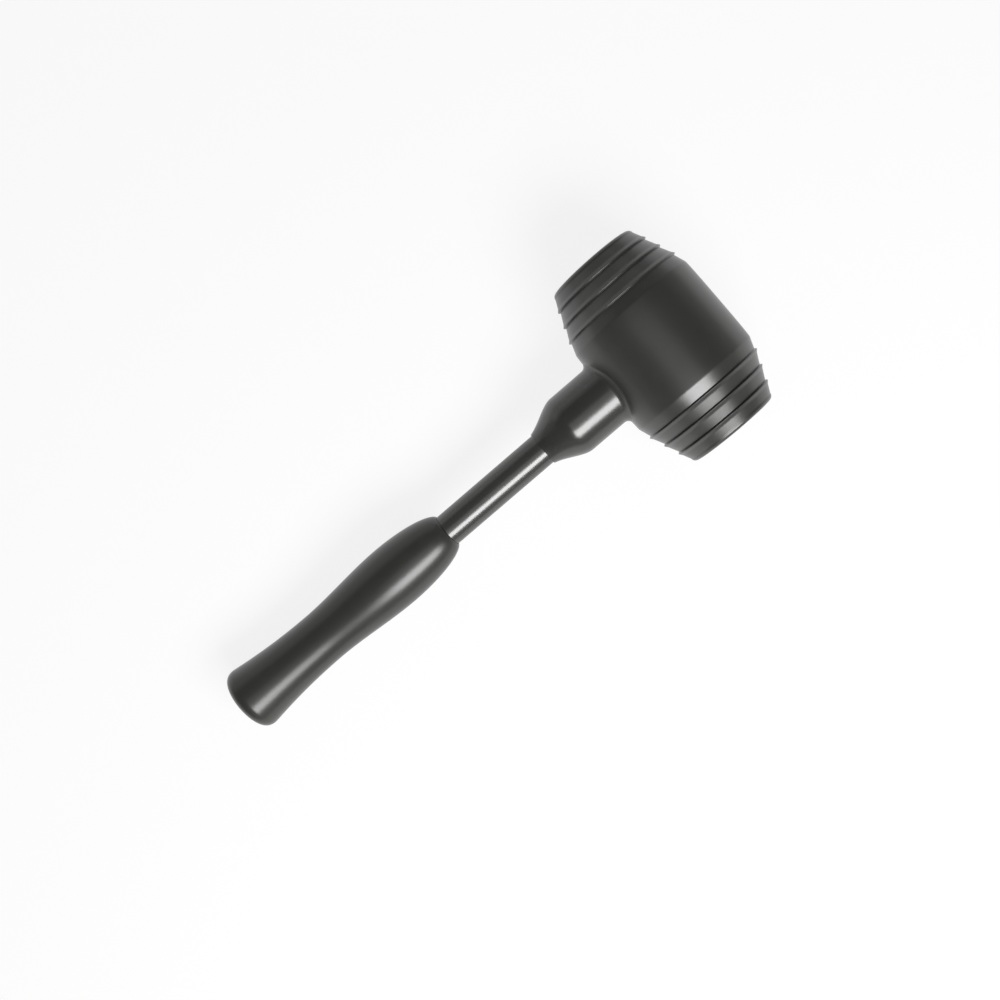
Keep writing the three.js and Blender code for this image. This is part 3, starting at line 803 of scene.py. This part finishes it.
class MALLET_OT_stage(bpy.types.Operator):
    """Sets the white floor, the three soft lamps, the dim world and the camera"""
    bl_idname = "mallet.stage"
    bl_label = "White stage"

    def execute(self, context):
        scene = context.scene
        stage = scene.mallet_stage
        reach, height = stage.floor_radius, stage.wall_height
        rim = reach + SWEEP_RUN
        sweep = curve((reach, 0), (reach + SWEEP_LEAD, 0), (rim, SWEEP_TRAIL), (rim, height), CURVE_CUTS)
        floor = spun("floor", [(0.0, 0.0)] + sweep, (0, 1, 0), ROD_STEPS)
        floor.data.transform(Matrix.Rotation(math.pi / 2, 4, "X"))
        floor.data.materials.append(self.floor_finish(stage))
        for face in floor.data.polygons:
            face.use_smooth = True
        self.add_panel(
            scene, "key", stage.key_place, stage.key_aim,
            stage.key_length, stage.key_width, stage.key_power)
        self.add_panel(
            scene, "fill", stage.fill_place, stage.fill_aim,
            stage.fill_length, stage.fill_width, stage.fill_power)
        self.add_panel(
            scene, "top", stage.top_place, stage.top_aim,
            stage.key_length, stage.top_width, stage.top_power)
        world = bpy.data.worlds.new("dim room")
        world.use_nodes = True
        world.node_tree.nodes["Background"].inputs["Color"].default_value = (*stage.world_tone, 1.0)
        scene.world = world
        self.set_camera(scene, stage)
        scene.view_settings.view_transform = "Standard"
        return {"FINISHED"}

    def add_panel(self, scene, name, place, aim, length, width, power):
        """A soft panel lamp that faces a point and stays out of the picture."""
        light = bpy.data.lights.new(name, "AREA")
        light.shape = "RECTANGLE"
        light.size, light.size_y, light.energy = length, width, power
        lamp = bpy.data.objects.new(name, light)
        lamp.location = place
        lamp.rotation_euler = (Vector(aim) - Vector(place)).to_track_quat("-Z", "Y").to_euler()
        lamp.visible_camera = False
        scene.collection.objects.link(lamp)

    def floor_finish(self, stage):
        """White to the eye and to reflections, with a share left for the shadow; the white glow fades away
        from the mallet into the floor's own shading, a painted falloff of light.
        """
        made = bpy.data.materials.new("White floor")
        made.use_nodes = True
        tree = made.node_tree
        tree.nodes.clear()
        out = node(tree, "ShaderNodeOutputMaterial", (3, 0))
        blend = node(tree, "ShaderNodeMixShader", (2, 0))
        plain = node(tree, "ShaderNodeBsdfDiffuse", (1, 0))
        plain.inputs["Color"].default_value = (*stage.floor_tone, 1.0)
        white = node(tree, "ShaderNodeEmission", (1, -1))
        ray = node(tree, "ShaderNodeLightPath", (-2, 0))
        seen = maths(tree, (-1, 0), "ADD", ray.outputs["Is Camera Ray"], ray.outputs["Is Glossy Ray"])
        seen = maths(tree, (0, 0), "ADD", seen, ray.outputs["Is Transmission Ray"])
        seen.node.use_clamp = True
        reach = node(tree, "ShaderNodeVectorMath", (-2, 1), operation="LENGTH")
        tree.links.new(node(tree, "ShaderNodeTexCoord", (-3, 1)).outputs["Object"], reach.inputs[0])
        # Painted falloff of light: the floor's white glow fades from the near share to the far share away
        # from the mallet.
        painted_falloff = node(tree, "ShaderNodeMapRange", (-1, 1), interpolation_type="SMOOTHSTEP")
        painted_falloff.inputs["From Min"].default_value = stage.painted_falloff_start
        painted_falloff.inputs["From Max"].default_value = stage.painted_falloff_end
        painted_falloff.inputs["To Min"].default_value = stage.backdrop_share
        painted_falloff.inputs["To Max"].default_value = stage.painted_falloff_far_share
        tree.links.new(reach.outputs["Value"], painted_falloff.inputs["Value"])
        tree.links.new(maths(tree, (1, 1), "MULTIPLY", seen, painted_falloff.outputs["Result"]), blend.inputs["Fac"])
        tree.links.new(plain.outputs["BSDF"], blend.inputs[1])
        tree.links.new(white.outputs["Emission"], blend.inputs[2])
        tree.links.new(blend.outputs["Shader"], out.inputs["Surface"])
        return made

    def set_camera(self, scene, stage):
        """Looks down on the mallet with the picture turned, as the photograph does."""
        data = bpy.data.cameras.new("camera")
        data.sensor_width, data.lens = SENSOR_WIDTH, stage.camera_lens
        camera = bpy.data.objects.new("camera", data)
        lean = Vector(stage.camera_lean)
        leant = Matrix.Rotation(lean.length, 4, lean) if lean.length else Matrix()
        turned = Matrix.Rotation(-stage.camera_turn, 4, "Z")
        camera.matrix_world = Matrix.Translation(stage.camera_place) @ turned @ leant.inverted()
        scene.collection.objects.link(camera)
        scene.camera = camera


class MALLET_PT_panel(bpy.types.Panel):
    """Lists the mallet's operators, sizes and finishes"""
    bl_idname = "MALLET_PT_panel"
    bl_label = "Mallet"
    bl_space_type = "VIEW_3D"
    bl_region_type = "UI"
    bl_category = "Mallet"

    def draw(self, context):
        for operator in OPERATORS:
            self.layout.operator(operator.bl_idname)
        for label, group in GROUPS.items():
            box = self.layout.box()
            box.label(text=group.__doc__)
            settings = getattr(context.scene, label)
            for name in group.__annotations__:
                box.prop(settings, name)


OPERATORS = (
    MALLET_OT_head, MALLET_OT_shank, MALLET_OT_grip, MALLET_OT_balls, MALLET_OT_core, MALLET_OT_stage)
GROUPS = {
    "mallet_head": MalletHeadSizes,
    "mallet_handle": MalletHandleSizes,
    "mallet_finish": MalletFinishes,
    "mallet_stage": MalletStage,
}


def register():
    for label, group in GROUPS.items():
        bpy.utils.register_class(group)
        setattr(bpy.types.Scene, label, PointerProperty(type=group))
    for operator in OPERATORS:
        bpy.utils.register_class(operator)
    bpy.utils.register_class(MALLET_PT_panel)


def unregister():
    bpy.utils.unregister_class(MALLET_PT_panel)
    for operator in reversed(OPERATORS):
        bpy.utils.unregister_class(operator)
    for label, group in reversed(GROUPS.items()):
        delattr(bpy.types.Scene, label)
        bpy.utils.unregister_class(group)


def main():
    register()
    bpy.ops.mallet.head()
    bpy.ops.mallet.shank()
    bpy.ops.mallet.grip()
    bpy.ops.mallet.balls()
    bpy.ops.mallet.core()
    bpy.ops.mallet.stage()


if __name__ == "__main__":
    main()
